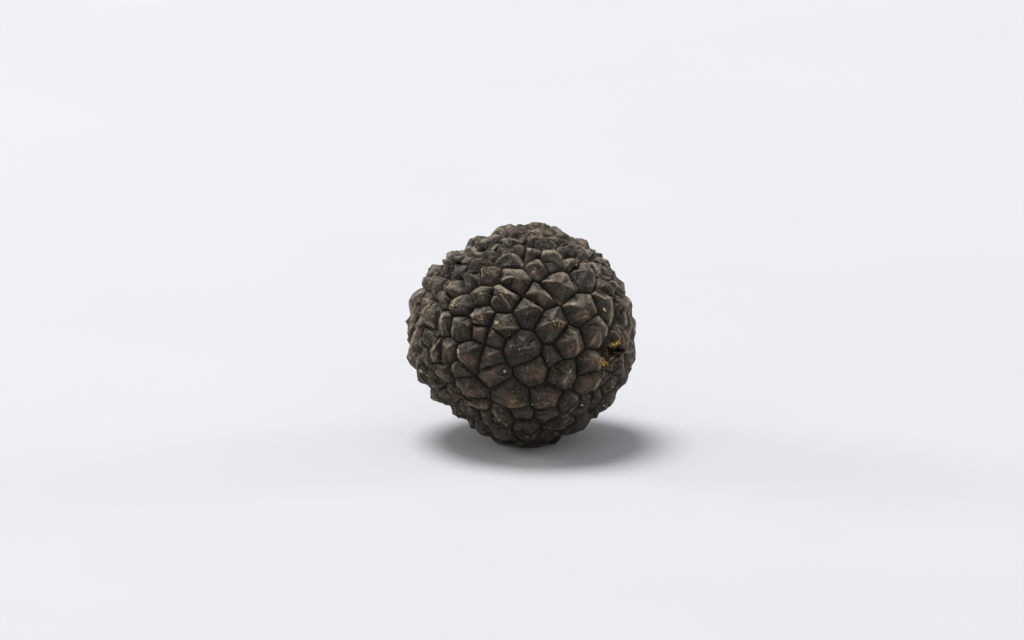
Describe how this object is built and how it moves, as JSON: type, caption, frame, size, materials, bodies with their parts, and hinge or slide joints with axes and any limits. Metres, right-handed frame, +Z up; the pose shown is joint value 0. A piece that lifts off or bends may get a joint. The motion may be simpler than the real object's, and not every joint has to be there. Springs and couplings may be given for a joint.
{
  "type": "black truffle",
  "caption": "Whole black truffle: a nearly round fungus body covered in low polygonal warts with a net of narrow furrows between them, resting on its worn underside.",
  "frame": {"origin": "middle of the bounding box's bottom face, on the surface that the truffle rests on", "axes": "+Z up from the worn underside; -Y the way the show face looks; +X to the right of the show face, along the truffle's greatest breadth"},
  "size_m": [0.04, 0.0388, 0.0377],
  "materials": {
    "skin": "matte"
  },
  "bodies": {
    "root": {"truffle": "skin"}
  },
  "joints": []
}
